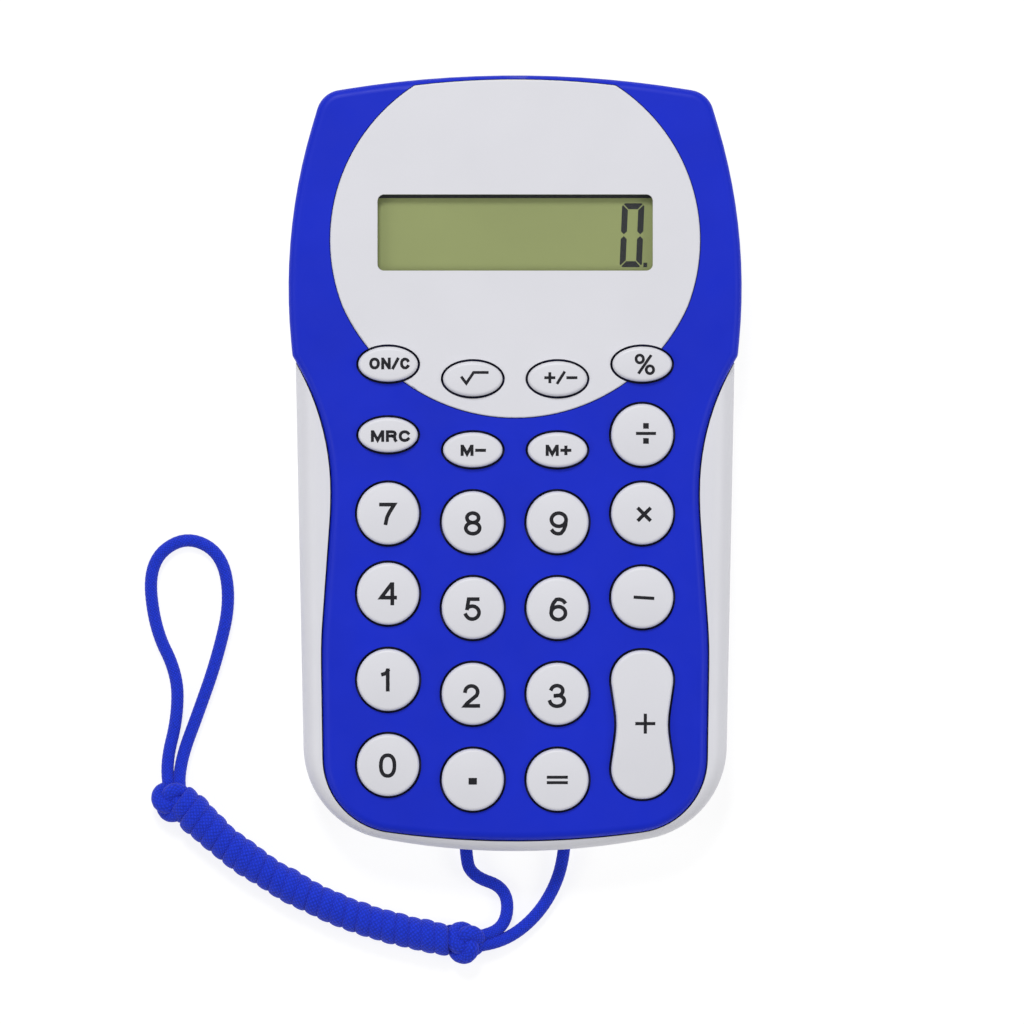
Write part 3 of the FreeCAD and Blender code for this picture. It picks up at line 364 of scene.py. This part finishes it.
CORD = 0.0019
CORD_STEP = 0.00022
BRAID_STRANDS = 8
BRAID_LAY = 0.9
WHIPPING_TURNS = 23
WHIPPING_STEPS = 44        # points in each turn
WHIPPING_REST = 0.0008     # how low a turn's middle can lie on the surface
WHIPPING_RADIUS = 0.00176
WHIPPING_UNEVEN = 0.00012  # how much a turn's radius strays, and grows along the whipping
WHIPPING_BULGE = 0.00032   # how much further out the bulky last turn stands
TURN_WIDE = 0.00119        # half the wound cord's width along the whipping
TURN_THIN = 0.00074        # half its thickness outwards
KNOT_SIZE = (0.0020, 0.0021, 0.0024)

# One cord: in at the left eyelet, through the whipping, round the wrist loop and back.
CORD_ROUTE = [
    (0.0000, -0.0539, 0.0033),
    (-0.0074, -0.0543, 0.0033),
    (-0.0075, -0.0586, 0.0032),
    (-0.0068, -0.0623, 0.0024),
    (-0.0011, -0.0643, 0.0012),
    (-0.0013, -0.0702, 0.0016),
    (-0.0062, -0.0719, 0.0026),
    (-0.0098, -0.0716, 0.0027),
    (-0.0159, -0.0704, 0.0027),
    (-0.0251, -0.0677, 0.0027),
    (-0.0341, -0.0633, 0.0027),
    (-0.0420, -0.0582, 0.0027),
    (-0.0472, -0.0536, 0.0027),
    (-0.0510, -0.0502, 0.0024),
    (-0.0507, -0.0448, 0.0011),
    (-0.0480, -0.0376, 0.0010),
    (-0.0452, -0.0296, 0.0010),
    (-0.0431, -0.0206, 0.0010),
    (-0.0446, -0.0133, 0.0010),
    (-0.0503, -0.0108, 0.0010),
    (-0.0556, -0.0150, 0.0010),
    (-0.0547, -0.0248, 0.0010),
    (-0.0512, -0.0318, 0.0010),
    (-0.0512, -0.0384, 0.0010),
    (-0.0529, -0.0452, 0.0011),
    (-0.0523, -0.0502, 0.0024),
    (-0.0480, -0.0546, 0.0027),
    (-0.0428, -0.0592, 0.0027),
    (-0.0347, -0.0645, 0.0027),
    (-0.0255, -0.0689, 0.0027),
    (-0.0161, -0.0716, 0.0027),
    (-0.0098, -0.0728, 0.0027),
    (-0.0062, -0.0732, 0.0026),
    (-0.0010, -0.0720, 0.0016),
    (0.0034, -0.0684, 0.0013),
    (0.0063, -0.0636, 0.0017),
    (0.0075, -0.0586, 0.0032),
    (0.0074, -0.0543, 0.0033),
    (0.0000, -0.0539, 0.0033),
]
WHIPPING_ROUTE = [
    (-0.0097, -0.0722, 0.0028),
    (-0.0160, -0.0710, 0.0028),
    (-0.0253, -0.0683, 0.0028),
    (-0.0344, -0.0639, 0.0028),
    (-0.0424, -0.0587, 0.0028),
    (-0.0476, -0.0541, 0.0028),
    (-0.0503, -0.0512, 0.0028),
]


def braid_height(i, angle):
    """The small rise and fall of a round braid's strands."""
    phase = i * BRAID_LAY
    across = BRAID_STRANDS * angle / 2
    return 0.5 * (math.cos(across + phase) * math.cos(across - phase))


def build_cord():
    path = evenly(smooth_route(CORD_ROUTE), CORD_STEP)
    frames = carried_frames(path)

    def section(i, angle):
        _, side, up = frames[i]
        radius = CORD / 2 * (1 + 0.05 * braid_height(i, angle))
        return side * (radius * math.cos(angle)) + up * (radius * math.sin(angle))

    cord = swept_tube("lanyard_cord", path, section, MATERIALS["blue_cord"], around=24)
    return cord, path


def flattened(value, power):
    """A cosine or sine pushed towards a box's shape."""
    return math.copysign(abs(value) ** power, value)


def build_whipping():
    """The cord wound round the two strands, turn beside turn, with a bulky last turn."""
    axis = evenly(smooth_route(WHIPPING_ROUTE), 0.0001)
    frames = carried_frames(axis)
    sway = [random.uniform(-1, 1) for _ in range(WHIPPING_TURNS + 2)]
    path = []
    across = []
    for k in range(WHIPPING_TURNS * WHIPPING_STEPS + 1):
        turn = k / WHIPPING_STEPS
        share = min(max((turn + 0.03 * math.sin(1.7 * turn)) / WHIPPING_TURNS, 0.0), 1.0)
        along = share * (len(axis) - 1)
        low = min(int(along), len(axis) - 2)
        point = axis[low].lerp(axis[low + 1], along - low)
        heading, side, up = frames[low]
        angle = 2 * math.pi * turn
        whole = int(turn)
        wobble = sway[whole] + (sway[whole + 1] - sway[whole]) * (turn - whole)
        bulge = WHIPPING_BULGE * math.exp(-((WHIPPING_TURNS - 1.6 - turn) / 0.9) ** 2)
        radius = (WHIPPING_RADIUS + WHIPPING_UNEVEN * wobble + WHIPPING_UNEVEN * share
                  + bulge)
        outward = side * math.cos(angle) + up * math.sin(angle)
        place = point + outward * radius
        place.z = max(place.z, WHIPPING_REST)
        path.append(place)
        across.append((outward, heading))

    def section(i, angle):
        outward, along = across[i]
        wide = TURN_WIDE * (1 + 0.03 * braid_height(i, angle))
        thin = TURN_THIN * (1 + 0.05 * braid_height(i, angle))
        return (outward * (thin * flattened(math.sin(angle), 0.8))
                + along * (wide * flattened(math.cos(angle), 0.8)))

    return swept_tube("lanyard_whipping_cord", path, section, MATERIALS["blue_cord"], around=20)


def build_knot(name, node, tilt, bulk):
    """A snug overhand knot: a trefoil of cord, pressed into the size of its CAD solid."""
    centre = middle(node)
    count = 150
    raw = []
    for k in range(count + 1):
        t = 2 * math.pi * k / count
        raw.append(Vector(((2 + math.cos(3 * t)) * math.cos(2 * t),
                           (2 + math.cos(3 * t)) * math.sin(2 * t), 1.15 * math.sin(3 * t))))
    turn = Matrix.Rotation(tilt, 3, "Z")
    path = [centre + turn @ Vector(point[axis] / 3 * KNOT_SIZE[axis] for axis in range(3))
            for point in raw]
    frames = carried_frames(path)

    def section(i, angle):
        _, side, up = frames[i]
        radius = bulk * (1 + 0.05 * braid_height(i, angle))
        return side * (radius * math.cos(angle)) + up * (radius * math.sin(angle))

    return swept_tube(name, path, section, MATERIALS["blue_cord"], around=20)


cord, cord_path = build_cord()
whipping = build_whipping()
lower_knot = build_knot("lanyard_lower_knot_cord", "lanyard_lower_knot", 0.2, 0.00124)
upper_knot = build_knot("lanyard_upper_knot_cord", "lanyard_upper_knot", 0.5, 0.00118)
for piece in (cord, whipping, lower_knot, upper_knot):
    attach(piece, CASE)
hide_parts("lanyard_tether", "lanyard_wrist_loop")
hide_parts("lanyard_whipping")
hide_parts("lanyard_lower_knot")
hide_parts("lanyard_upper_knot")

# ---------------------------------------------------------------- printed legends

PRINT = 0.02 * MM


def arc(x, y, wide, high, start, end, count=28, power=1.0):
    """Points on an ellipse's arc, in degrees; a power below 1 squares it up."""
    points = []
    for k in range(count + 1):
        angle = math.radians(start + (end - start) * k / count)
        points.append((x + wide * flattened(math.cos(angle), power),
                       y + high * flattened(math.sin(angle), power)))
    return points


# Each sign is a list of strokes; their middle lines fill a square from (0, 0) to (1, 1).
SIGNS = {
    "0": [arc(0.5, 0.5, 0.5, 0.5, 90, 450, 48, 0.86)],
    "1": [[(0.0, 0.80), (0.45, 0.84), (0.78, 0.98)], [(0.80, 1.0), (0.80, 0.0)]],
    "2": [arc(0.5, 0.70, 0.46, 0.30, 172, -8, 26) + [(0.88, 0.52), (0.55, 0.34), (0.20, 0.14),
          (0.03, 0.0), (1.0, 0.0)]],
    "3": [arc(0.47, 0.755, 0.42, 0.245, 160, -90, 26) + [(0.36, 0.51)],
          [(0.40, 0.51)] + arc(0.48, 0.265, 0.52, 0.265, 86, -168, 28)],
    "4": [[(0.80, 0.0), (0.80, 1.0), (0.74, 1.0), (0.0, 0.30), (1.0, 0.30)]],
    "5": [[(0.90, 1.0), (0.24, 1.0), (0.13, 0.54)],
          arc(0.50, 0.325, 0.50, 0.325, 128, -158, 30)],
    "6": [arc(0.52, 0.74, 0.46, 0.26, 28, 112, 12)
          + [(0.16, 0.82), (0.04, 0.60), (0.0, 0.36)],
          arc(0.5, 0.32, 0.5, 0.32, 0, 360, 40)],
    "7": [[(0.0, 1.0), (1.0, 1.0), (0.66, 0.62), (0.45, 0.32), (0.36, 0.0)]],
    "8": [arc(0.5, 0.77, 0.42, 0.23, 0, 360, 36), arc(0.5, 0.27, 0.5, 0.27, 0, 360, 40)],
    "M": [[(0.0, 0.0), (0.0, 1.0), (0.06, 1.0), (0.5, 0.04), (0.94, 1.0), (1.0, 1.0),
           (1.0, 0.0)]],
    "R": [[(0.0, 0.0), (0.0, 1.0), (0.6, 1.0)] + arc(0.60, 0.755, 0.36, 0.245, 90, -90, 16)
          + [(0.0, 0.51)], [(0.56, 0.51), (0.88, 0.40), (0.92, 0.12), (1.0, 0.0)]],
    "C": [arc(0.5, 0.5, 0.5, 0.5, 38, 322, 36, 0.95)],
    "O": [arc(0.5, 0.5, 0.5, 0.5, 90, 450, 44, 0.92)],
    "N": [[(0.0, 0.0), (0.0, 1.0), (0.05, 1.0), (0.95, 0.0), (1.0, 0.0), (1.0, 1.0)]],
    "/": [[(-0.15, 0.0), (1.15, 1.0)]],
    "+": [[(0.0, 0.5), (1.0, 0.5)], [(0.5, 0.0), (0.5, 1.0)]],
    "-": [[(0.0, 0.5), (1.0, 0.5)]],
    "minus": [[(0.0, 1.0), (1.0, 0.0)]],
    "=": [[(0.0, 1.0), (1.0, 1.0)], [(0.0, 0.0), (1.0, 0.0)]],
    "x": [[(0.0, 0.0), (1.0, 1.0)], [(0.0, 1.0), (1.0, 0.0)]],
    "root": [[(0.0, 0.52), (0.17, 0.0), (0.46, 1.0), (1.0, 1.0)]],
    "%": [arc(0.21, 0.79, 0.21, 0.21, 0, 360, 26), arc(0.79, 0.21, 0.21, 0.21, 0, 360, 26),
          [(0.18, 0.06), (0.82, 0.94)]],
    "divide": [[(0.0, 0.5), (1.0, 0.5)], [(0.5, 0.0), (0.5, 0.001)], [(0.5, 0.999), (0.5, 1.0)]],
}
SIGNS["9"] = [[(1.0 - x, 1.0 - y) for x, y in stroke] for stroke in SIGNS["6"]]

# Letter widths and gaps, as shares of the height.
WIDE = {"M": 1.05, "R": 0.88, "C": 0.94, "O": 1.0, "N": 0.90, "/": 0.62, "+": 0.88, "-": 0.88}
LETTER_GAP = 0.13
SMALL_SIGN = 0.8           # a plus beside letters, as a share of their height

# key: signs, width and height of the print, width of a stroke, offset from the key's middle
LEGENDS = {
    "key_0": (["0"], 2.60, 3.65, 0.56, -0.05, -0.05),
    "key_1": (["1"], 1.45, 3.45, 0.56, -0.30, 0.00),
    "key_2": (["2"], 2.60, 3.55, 0.56, -0.20, -0.28),
    "key_3": (["3"], 2.65, 3.65, 0.56, -0.02, -0.28),
    "key_4": (["4"], 2.65, 3.45, 0.56, 0.02, 0.00),
    "key_5": (["5"], 2.60, 3.55, 0.56, -0.08, -0.15),
    "key_6": (["6"], 2.70, 3.60, 0.56, 0.12, -0.20),
    "key_7": (["7"], 2.55, 3.35, 0.56, -0.05, -0.05),
    "key_8": (["8"], 2.64, 3.65, 0.56, 0.00, -0.18),
    "key_9": (["9"], 2.75, 3.65, 0.56, 0.18, -0.18),
    "key_equals": (["="], 3.15, 1.26, 0.45, -0.03, 0.00),
    "key_multiply": (["x"], 2.12, 2.12, 0.54, 0.28, -0.12),
    "key_subtract": (["minus"], 3.10, 0.64, 0.48, 0.25, -0.05),
    "key_add": (["+"], 3.00, 3.00, 0.48, 0.45, 0.18),
    "key_divide": (["divide"], 3.00, 2.72, 0.46, 0.55, 0.20),
    "key_on_clear": (["O", "N", "/", "C"], 6.10, 1.76, 0.44, 0.25, 0.08),
    "key_square_root": (["root"], 4.20, 2.05, 0.42, 0.28, 0.12),
    "key_change_sign": (["+", "/", "-"], 4.95, 1.95, 0.43, 0.50, 0.15),
    "key_percent": (["%"], 3.05, 3.20, 0.42, 0.38, -0.05),
    "key_memory_recall": (["M", "R", "C"], 5.95, 1.75, 0.45, 0.42, -0.20),
    "key_memory_minus": (["M", "-"], 3.80, 1.68, 0.46, 0.08, -0.08),
    "key_memory_plus": (["M", "+"], 3.85, 1.68, 0.46, 0.15, -0.08),
}
DOT_SIZE = (1.25, 1.0)
DOT_DROP = 0.2
MITRE_LIMIT = 0.45
DIVIDE_DOT = 0.85


def subdivided(points, step):
    """The same line with more points on its runs."""
    finer = [points[0]]
    for here, there in zip(points, points[1:]):
        run = math.dist(here, there)
        count = max(1, math.ceil(run / step))
        finer += [(here[0] + (there[0] - here[0]) * k / count,
                   here[1] + (there[1] - here[1]) * k / count) for k in range(1, count + 1)]
    return finer


def capped(points, reach):
    """An open line with both of its ends drawn out by the reach."""
    if math.dist(points[0], points[-1]) < reach:
        return points
    ends = []
    for end, beside in ((points[0], points[1]), (points[-1], points[-2])):
        share = reach / math.dist(end, beside)
        ends.append((end[0] + (end[0] - beside[0]) * share, end[1] + (end[1] - beside[1]) * share))
    return [ends[0], *points[1:-1], ends[1]]


def ribbon(points, width):
    """Left and right edges of a flat stroke along the points, mitred at its corners."""
    closed = math.dist(points[0], points[-1]) < width / 20
    edges = []
    for k, (x, y) in enumerate(points):
        before = points[k - 1] if k else (points[-2] if closed else points[0])
        after = points[k + 1] if k + 1 < len(points) else (points[1] if closed else points[k])
        arriving = Vector((x - before[0], y - before[1]))
        leaving = Vector((after[0] - x, after[1] - y))
        if not arriving.length:
            arriving = leaving
        if not leaving.length:
            leaving = arriving
        arriving.normalize()
        leaving.normalize()
        normal = Vector((-arriving.y - leaving.y, arriving.x + leaving.x)).normalized()
        share = max(normal.dot(Vector((-leaving.y, leaving.x))), MITRE_LIMIT)
        reach = normal * (width / 2 / share)
        edges.append(((x + reach.x, y + reach.y), (x - reach.x, y - reach.y)))
    return edges


class Printer:
    """Lays flat strokes on a surface, as closed films a few hundredths of a millimetre thick."""

    def __init__(self, node, thickness=PRINT):
        mesh = NODES[node].data
        self.surface = BVHTree.FromPolygons([v.co for v in mesh.vertices],
                                            [tuple(p.vertices) for p in mesh.polygons])
        self.above = top_of(node) + MM
        self.thickness = thickness
        self.bm = bmesh.new()

    def place(self, x, y, lift):
        hit = self.surface.ray_cast(Vector((x, y, self.above)), Vector((0, 0, -1)))[0]
        return self.bm.verts.new((x, y, hit.z + lift))

    def stroke(self, points, width):
        """A stroke in metres, from its middle line."""
        rings = []
        for left, right in ribbon(subdivided(points, 0.25 * MM), width):
            rings.append([self.place(*left, self.thickness), self.place(*right, self.thickness),
                          self.place(*right, -self.thickness), self.place(*left, -self.thickness)])
        for here, there in zip(rings, rings[1:]):
            for k in range(4):
                n = (k + 1) % 4
                self.bm.faces.new((here[k], here[n], there[n], there[k]))
        self.bm.faces.new(rings[0][::-1])
        self.bm.faces.new(rings[-1])

    def finish(self, name, body):
        bmesh.ops.recalc_face_normals(self.bm, faces=self.bm.faces)
        printed = new_object(name, self.bm, INK_AND_SHADOW_PAINT)
        for polygon in printed.data.polygons:
            polygon.use_smooth = False
        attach(printed, body)
        return printed


def print_signs(printer, signs, centre, width, height, stroke):
    """Signs side by side, scaled to fill the width and the height."""
    shares = [WIDE.get(sign, 1.0) for sign in signs]
    unit = width / (sum(shares) + LETTER_GAP * (len(signs) - 1))
    left = centre[0] - width / 2
    for sign, share in zip(signs, shares):
        room = (share * unit - stroke, height - stroke)
        low = (left + stroke / 2, centre[1] - height / 2 + stroke / 2)
        small = len(signs) > 1 and sign in "+-"
        for line in SIGNS[sign]:
            points = [(low[0] + x * room[0],
                       low[1] + (0.5 + (y - 0.5) * (SMALL_SIGN if small else 1.0)) * room[1])
                      for x, y in line]
            dot = sign == "divide" and len(line) == 2 and line[0][0] == line[1][0]
            if dot:
                middle_y = points[0][1]
                points = [(points[0][0], middle_y - DIVIDE_DOT * MM / 2),
                          (points[0][0], middle_y + DIVIDE_DOT * MM / 2)]
            if dot:
                printer.stroke(points, DIVIDE_DOT * MM)
            else:
                printer.stroke(capped(points, stroke / 2), stroke)
        left += (share + LETTER_GAP) * unit


def print_legends():
    for key, (signs, width, height, stroke, right, up) in LEGENDS.items():
        centre = middle(key)
        printer = Printer(key)
        print_signs(printer, signs, (centre.x + right * MM, centre.y + up * MM),
                    width * MM, height * MM, stroke * MM)
        printer.finish(key + "_legend", BODY_OF[key])
    centre = middle("key_decimal_point")
    printer = Printer("key_decimal_point")
    y = centre.y - DOT_DROP * MM
    half = DOT_SIZE[0] * MM / 2
    printer.stroke([(centre.x - half, y), (centre.x + half, y)], DOT_SIZE[1] * MM)
    printer.finish("key_decimal_point_legend", BODY_OF["key_decimal_point"])


print_legends()

# ---------------------------------------------------------------- digit on the display and the painted shadow along its top edge

DIGIT = (3.35 * MM, 9.6 * MM)
SEGMENT = 0.90 * MM
SEGMENT_GAP = 0.13 * MM
SEGMENT_CHAMFER = 0.30 * MM
DIGIT_RIGHT = 2.62 * MM
DIGIT_LEAN = math.tan(math.radians(2.4))
DIGIT_DROP = 0.34 * MM     # below the window's middle
POINT_WIDE = 0.58 * MM
POINT_HALF = 0.34 * MM
POINT_GAP = 0.32 * MM
FILM = 0.01 * MM
PANE_BORDER = 1.2 * MM
# Height of the painted shadow along the display's top edge.
TOP_SHADOW_WIDTH = 0.5 * MM


def show_zero():
    """A zero and its decimal point at the display's right, in seven-segment form."""
    low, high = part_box("display_window")
    printer = Printer("lcd_front_polariser", FILM)
    half_wide, half_tall = DIGIT[0] / 2, DIGIT[1] / 2
    cx = high[0] - DIGIT_RIGHT - half_wide
    cy = (low[1] + high[1]) / 2 - DIGIT_DROP

    def segment(corners):
        """A flat bar with the given corners, leaning with the digit."""
        places = [(cx + x + y * DIGIT_LEAN, cy + y) for x, y in corners]
        top = [printer.place(x, y, printer.thickness) for x, y in places]
        bottom = [printer.place(x, y, 0.0) for x, y in places]
        printer.bm.faces.new(top)
        printer.bm.faces.new(bottom[::-1])
        for k in range(len(top)):
            n = (k + 1) % len(top)
            printer.bm.faces.new((top[k], top[n], bottom[n], bottom[k]))

    inner_x, inner_y = half_wide - SEGMENT, half_tall - SEGMENT
    cut = SEGMENT_CHAMFER
    gap = SEGMENT_GAP
    for side in (1, -1):
        segment([(-half_wide + cut + gap, side * half_tall),
                 (half_wide - cut - gap, side * half_tall),
                 (half_wide - cut / 2 - gap, side * (half_tall - cut / 2)),
                 (inner_x - gap / 2, side * inner_y), (-inner_x + gap / 2, side * inner_y),
                 (-half_wide + cut / 2 + gap, side * (half_tall - cut / 2))])
        for hand in (1, -1):
            segment([(hand * half_wide, side * (half_tall - cut - gap)),
                     (hand * (half_wide - cut / 2), side * (half_tall - cut / 2 - gap)),
                     (hand * inner_x, side * (inner_y - gap)),
                     (hand * inner_x, side * (SEGMENT / 2 + gap)),
                     (hand * (half_wide - SEGMENT / 2), side * gap),
                     (hand * half_wide, side * (SEGMENT / 2 + gap))])
    dot_x, dot_y = cx + half_wide + POINT_GAP, cy - half_tall + POINT_HALF
    printer.stroke([(dot_x, dot_y - POINT_HALF), (dot_x, dot_y + POINT_HALF)], POINT_WIDE)
    printer.finish("display_digit", CASE)


def paint_top_shadow():
    """A painted shadow: a dark strip along the display's upper edge, laid under the window where
    the window's upper wall casts shade.
    """
    low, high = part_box("display_window")
    printer = Printer("lcd_front_polariser", FILM)
    y = high[1] - PANE_BORDER - TOP_SHADOW_WIDTH / 2
    printer.stroke([(low[0] + PANE_BORDER, y), (high[0] - PANE_BORDER, y)], TOP_SHADOW_WIDTH)
    printer.finish("display_top_painted_shadow", CASE)


show_zero()
paint_top_shadow()

# ---------------------------------------------------------------- stage

def add_floor():
    bm = bmesh.new()
    bmesh.ops.create_grid(bm, x_segments=8, y_segments=8, size=1.5)
    made, tree, shader = material("floor", (0.24, 0.24, 0.24), 0.7, 0.1)
    tone = ramp(tree, noise(tree, 3.0).outputs["Fac"], (0.235, 0.235, 0.24), (0.245, 0.245, 0.245))
    tree.links.new(tone.outputs["Color"], shader.inputs["Base Color"])
    shader.inputs["Emission Color"].default_value = (1.0, 1.0, 1.0, 1.0)
    shader.inputs["Emission Strength"].default_value = 0.82
    floor = new_object("floor", bm, made)


def add_light(name, place, size, power):
    """A round lamp that points at the frame's origin."""
    data = bpy.data.lights.new(name, "AREA")
    data.shape = "DISK"
    data.size = size
    data.energy = power
    lamp = bpy.data.objects.new(name, data)
    lamp.location = place
    lamp.rotation_euler = (-Vector(place)).to_track_quat("-Z", "Y").to_euler()
    bpy.context.scene.collection.objects.link(lamp)


def add_world():
    world = bpy.data.worlds.new("studio")
    world.use_nodes = True
    world.node_tree.nodes["Background"].inputs["Color"].default_value = (1.0, 1.0, 1.0, 1.0)
    world.node_tree.nodes["Background"].inputs["Strength"].default_value = 0.33
    bpy.context.scene.world = world


# name: place, size, power in watts
LIGHTS = {
    "key": ((-0.12, 0.62, 0.85), 0.30, 5.45),
    "left_fill": ((-0.75, -0.15, 0.75), 0.5, 2.1),
    "right_fill": ((0.75, -0.15, 0.75), 0.5, 2.6),
}
add_floor()
add_world()
for name, (place, size, power) in LIGHTS.items():
    add_light(name, place, size, power)
bpy.context.scene.view_settings.view_transform = "Standard"
